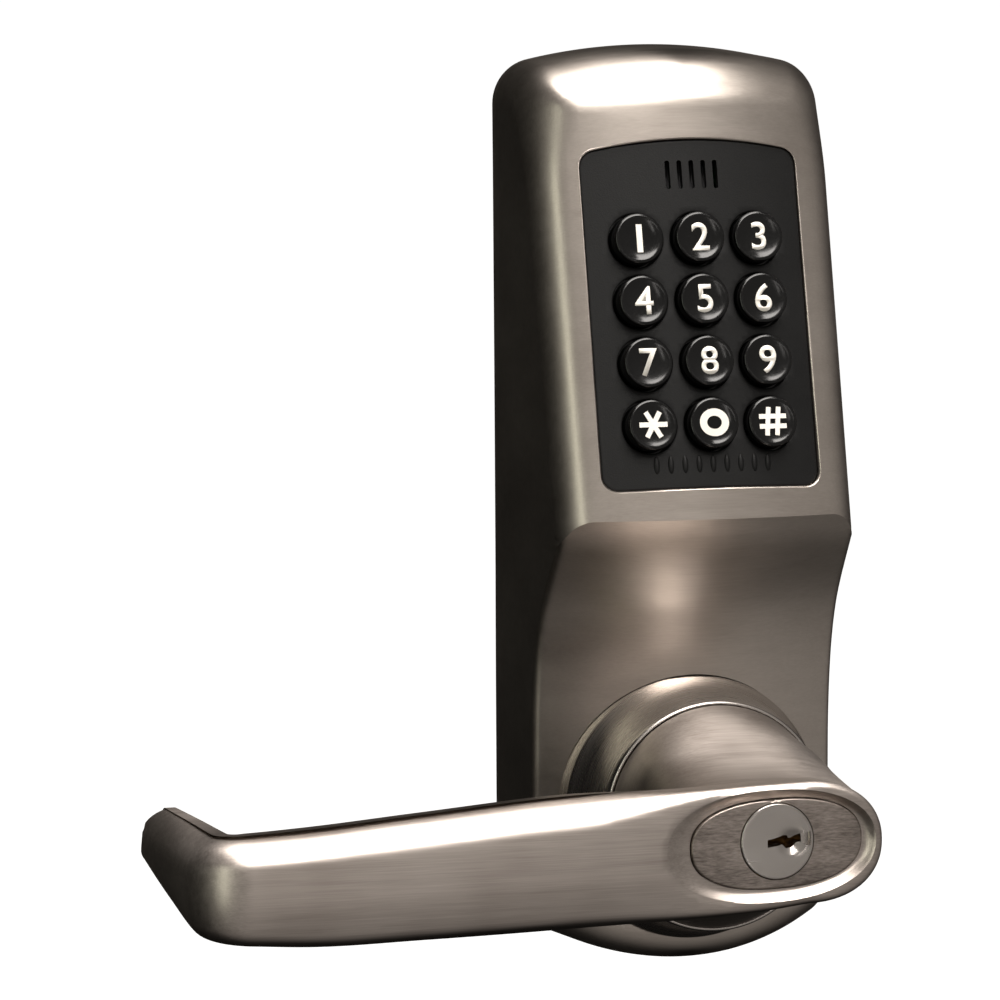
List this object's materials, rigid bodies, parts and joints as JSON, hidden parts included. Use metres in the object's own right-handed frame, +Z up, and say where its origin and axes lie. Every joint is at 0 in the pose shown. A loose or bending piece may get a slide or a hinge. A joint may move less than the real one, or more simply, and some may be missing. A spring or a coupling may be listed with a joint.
{
  "type": "keypad smart lock",
  "caption": "Door lock outside unit: tall satin metal casing with a tilted keypad, a spring-return lever handle and a key cylinder in the lever head, with clutch drive to a square spindle",
  "frame": {"origin": "where the lever axis meets the door plane", "axes": "+X right seen from outside the door, +Y into the door, +Z up"},
  "size_m": [0.178, 0.1446, 0.2225],
  "materials": {
    "satin_metal": "satin nickel plated zinc, fine brushing",
    "lever_metal": "satin nickel plated zinc, brushed along the lever",
    "insert_metal": "coarser brushed nickel",
    "cylinder_metal": "smooth satin nickel on brass",
    "brass": "machined brass",
    "steel": "zinc plated steel",
    "spring_steel": "oiled spring steel",
    "fascia_black": "fine textured matte black",
    "key_black": "glossy black",
    "rubber_black": "silicone rubber",
    "mat_grey": "grey silicone keypad mat",
    "board_green": "solder masked circuit board",
    "black_plastic": "moulded black plastic",
    "white_plastic": "moulded natural nylon",
    "motor_metal": "plain metal can"
  },
  "bodies": {
    "housing": {"front_casing": "satin_metal", "back_gasket": "rubber_black", "back_plate": "steel", "back_plate_screws": "steel", "fixing_posts": "steel", "cable_grommet": "rubber_black", "keypad_fascia": "fascia_black", "keypad_mat": "mat_grey", "keypad_board": "board_green", "tactile_switches": "black_plastic", "board_screws": "steel", "controller_chip": "black_plastic", "sounder": "black_plastic", "cable_header": "white_plastic", "rose": "satin_metal", "lever_bush": "white_plastic", "stop_plate": "steel", "stop_plate_screws": "steel", "spindle_bush": "white_plastic", "clutch_motor": "motor_metal", "motor_bracket": "steel", "bracket_screws": "steel"},
    "lever": {"lever_handle": "lever_metal", "lever_insert": "insert_metal", "lever_hub": "steel", "hub_screws": "steel", "retaining_ring": "spring_steel", "thrust_washer": "steel", "return_spring": "spring_steel", "cylinder_shell": "brass", "driver_pins": "brass", "pin_springs": "spring_steel", "pin_cover": "brass"},
    "plug": {"cylinder_plug": "cylinder_metal", "key_pins": "brass", "tailpiece": "brass"},
    "spindle_drive": {"driven_hub": "steel", "spindle": "steel"},
    "ring": {"clutch_ring": "steel"},
    "fork": {"clutch_fork": "white_plastic"},
    "screw": {"motor_screw": "brass"},
    "button_1": {"key_1": "key_black"},
    "button_2": {"key_2": "key_black"},
    "button_3": {"key_3": "key_black"},
    "button_4": {"key_4": "key_black"},
    "button_5": {"key_5": "key_black"},
    "button_6": {"key_6": "key_black"},
    "button_7": {"key_7": "key_black"},
    "button_8": {"key_8": "key_black"},
    "button_9": {"key_9": "key_black"},
    "button_star": {"key_star": "key_black"},
    "button_0": {"key_0": "key_black"},
    "button_hash": {"key_hash": "key_black"}
  },
  "joints": [
    {"name": "lever_turn", "type": "hinge", "parent": "housing", "child": "lever", "pos_m": [0, 0, 0], "axis": [0, -1, 0], "range_deg": [0, 55], "stiffness_Nm_per_rad": 0.35, "springref_deg": -20.05, "deforming": ["return_spring"]},
    {"name": "cylinder_turn", "type": "hinge", "parent": "lever", "child": "plug", "pos_m": [0, -0.08, 0], "axis": [0, 1, 0], "range_deg": [0, 90]},
    {"name": "spindle_turn", "type": "hinge", "parent": "housing", "child": "spindle_drive", "pos_m": [0, 0, 0], "axis": [0, -1, 0], "range_deg": [0, 55]},
    {"name": "screw_turn", "type": "hinge", "parent": "housing", "child": "screw", "pos_m": [0, -0.013, 0.044], "axis": [0, 1, 0], "range_deg": [0, 720]},
    {"name": "fork_slide", "type": "slide", "parent": "housing", "child": "fork", "axis": [0, 1, 0], "range_m": [0, 0.003]},
    {"name": "ring_slide", "type": "slide", "parent": "spindle_drive", "child": "ring", "axis": [0, 1, 0], "range_m": [0, 0.003]},
    {"name": "press_1", "type": "slide", "parent": "housing", "child": "button_1", "axis": [0, 0.9738, -0.2273], "range_m": [0, 0.0012], "stiffness_N_per_m": 400},
    {"name": "press_2", "type": "slide", "parent": "housing", "child": "button_2", "axis": [0, 0.9738, -0.2273], "range_m": [0, 0.0012], "stiffness_N_per_m": 400},
    {"name": "press_3", "type": "slide", "parent": "housing", "child": "button_3", "axis": [0, 0.9738, -0.2273], "range_m": [0, 0.0012], "stiffness_N_per_m": 400},
    {"name": "press_4", "type": "slide", "parent": "housing", "child": "button_4", "axis": [0, 0.9738, -0.2273], "range_m": [0, 0.0012], "stiffness_N_per_m": 400},
    {"name": "press_5", "type": "slide", "parent": "housing", "child": "button_5", "axis": [0, 0.9738, -0.2273], "range_m": [0, 0.0012], "stiffness_N_per_m": 400},
    {"name": "press_6", "type": "slide", "parent": "housing", "child": "button_6", "axis": [0, 0.9738, -0.2273], "range_m": [0, 0.0012], "stiffness_N_per_m": 400},
    {"name": "press_7", "type": "slide", "parent": "housing", "child": "button_7", "axis": [0, 0.9738, -0.2273], "range_m": [0, 0.0012], "stiffness_N_per_m": 400},
    {"name": "press_8", "type": "slide", "parent": "housing", "child": "button_8", "axis": [0, 0.9738, -0.2273], "range_m": [0, 0.0012], "stiffness_N_per_m": 400},
    {"name": "press_9", "type": "slide", "parent": "housing", "child": "button_9", "axis": [0, 0.9738, -0.2273], "range_m": [0, 0.0012], "stiffness_N_per_m": 400},
    {"name": "press_star", "type": "slide", "parent": "housing", "child": "button_star", "axis": [0, 0.9738, -0.2273], "range_m": [0, 0.0012], "stiffness_N_per_m": 400},
    {"name": "press_0", "type": "slide", "parent": "housing", "child": "button_0", "axis": [0, 0.9738, -0.2273], "range_m": [0, 0.0012], "stiffness_N_per_m": 400},
    {"name": "press_hash", "type": "slide", "parent": "housing", "child": "button_hash", "axis": [0, 0.9738, -0.2273], "range_m": [0, 0.0012], "stiffness_N_per_m": 400}
  ],
  "couplings": [
    {"joint": "spindle_turn", "follows": "lever_turn", "ratio": 1},
    {"joint": "screw_turn", "follows": "fork_slide", "rad_per_m": 4188.8},
    {"joint": "ring_slide", "follows": "fork_slide", "ratio": 1}
  ]
}
